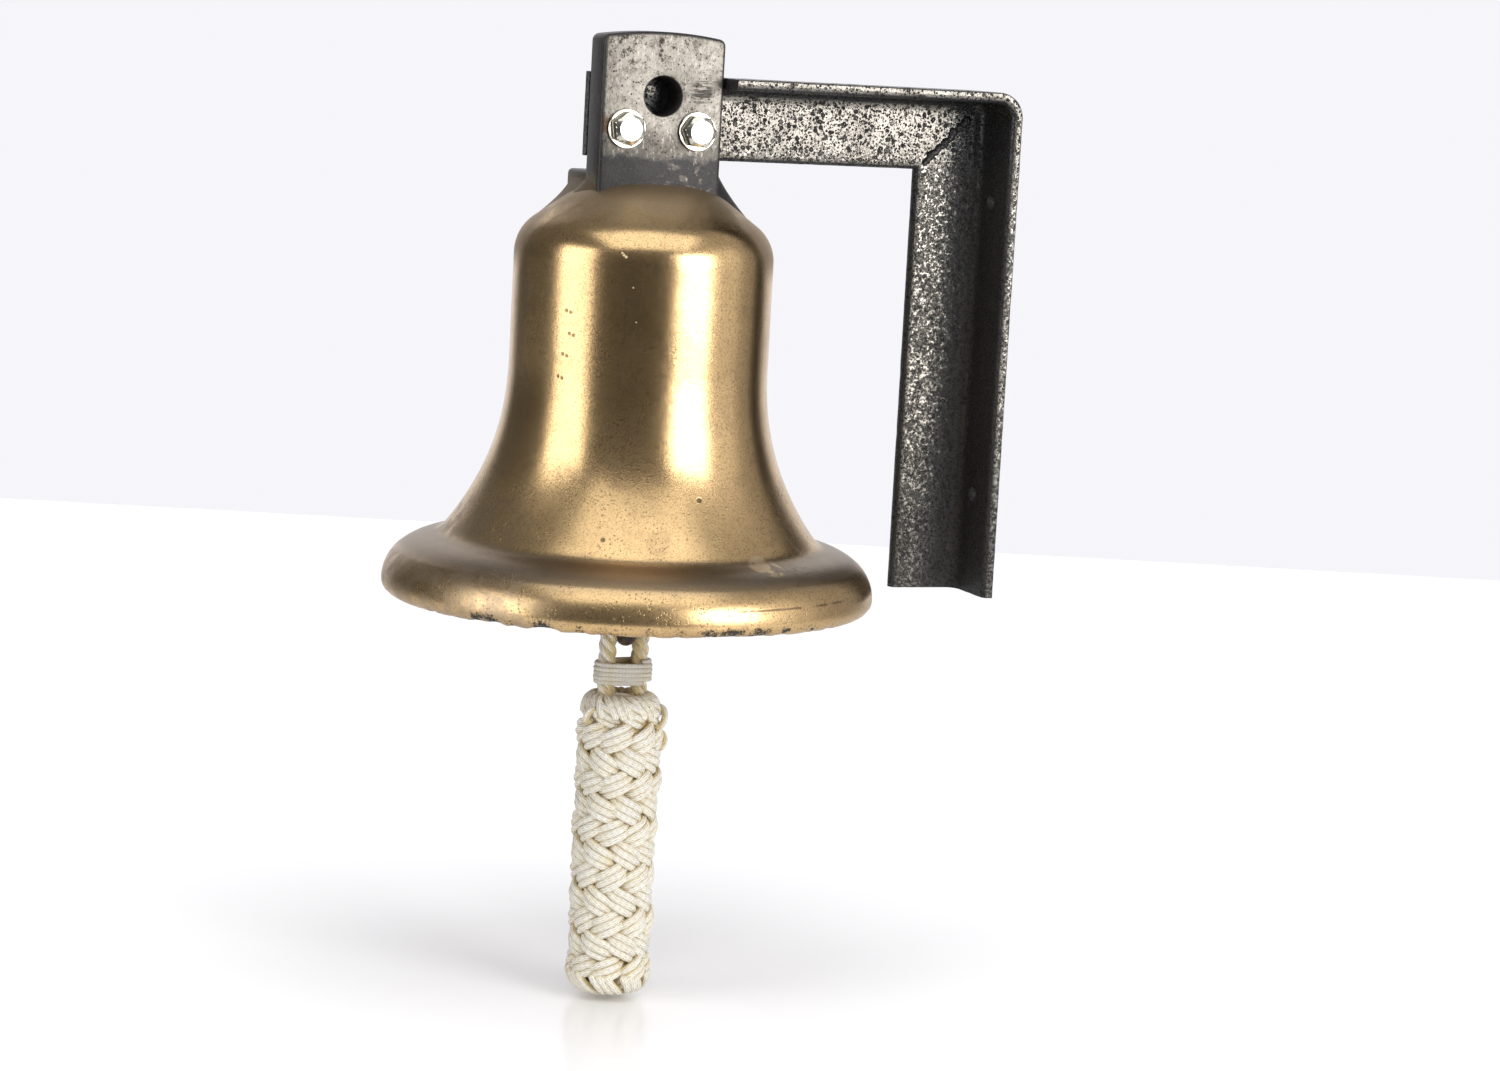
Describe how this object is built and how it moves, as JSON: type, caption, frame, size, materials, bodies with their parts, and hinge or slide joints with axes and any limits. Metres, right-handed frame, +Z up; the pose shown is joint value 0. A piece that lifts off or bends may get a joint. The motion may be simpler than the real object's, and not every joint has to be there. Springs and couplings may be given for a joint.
{
  "type": "wall bell",
  "caption": "Cast brass station bell with a lug bolted to an angle iron wall bracket, a clapper swinging inside it and a braided rope lanyard to ring it by.",
  "frame": {"origin": "on the wall face of the bracket's leg, on the middle of the flange's width, midway between the two wall screw holes", "axes": "+X into the wall, +Z up, -Y the side to which the flange reaches and from which the lug's bolt heads are seen"},
  "size_m": [0.3392, 0.2684, 0.527],
  "materials": {
    "bell_metal": "satin, patinated",
    "black_paint": "gloss over pitted steel",
    "zinc": "bright zinc plate",
    "forged_iron": "forged, dark",
    "pin_steel": "turned",
    "cotton_cord": "braided cord, satin"
  },
  "bodies": {
    "bell_and_bracket": {"bell": "bell_metal", "wall_bracket": "black_paint", "mitre_weld": "black_paint", "left_bolt": "zinc", "right_bolt": "zinc", "left_front_washer": "zinc", "right_front_washer": "zinc", "left_rear_washer": "zinc", "right_rear_washer": "zinc", "left_nut": "zinc", "right_nut": "zinc", "crown_staple": "forged_iron", "staple_washer": "forged_iron", "staple_nut": "forged_iron", "clapper_pin": "pin_steel", "pin_washer": "pin_steel", "split_pin": "pin_steel"},
    "clapper": {"clapper_rod": "forged_iron", "clapper_ball": "forged_iron"},
    "lanyard": {"lanyard_eye": "cotton_cord", "lanyard_seizing": "cotton_cord", "lanyard_sennit": "cotton_cord"}
  },
  "joints": [
    {"name": "clapper_swing", "type": "hinge", "parent": "bell_and_bracket", "child": "clapper", "pos_m": [-0.204, 0.0125, 0.043], "axis": [1, 0, 0], "range_deg": [-24, 24]},
    {"name": "lanyard_swing", "type": "hinge", "parent": "clapper", "child": "lanyard", "pos_m": [-0.204, 0.0125, -0.152], "axis": [1, 0, 0], "range_deg": [-25, 25]}
  ]
}
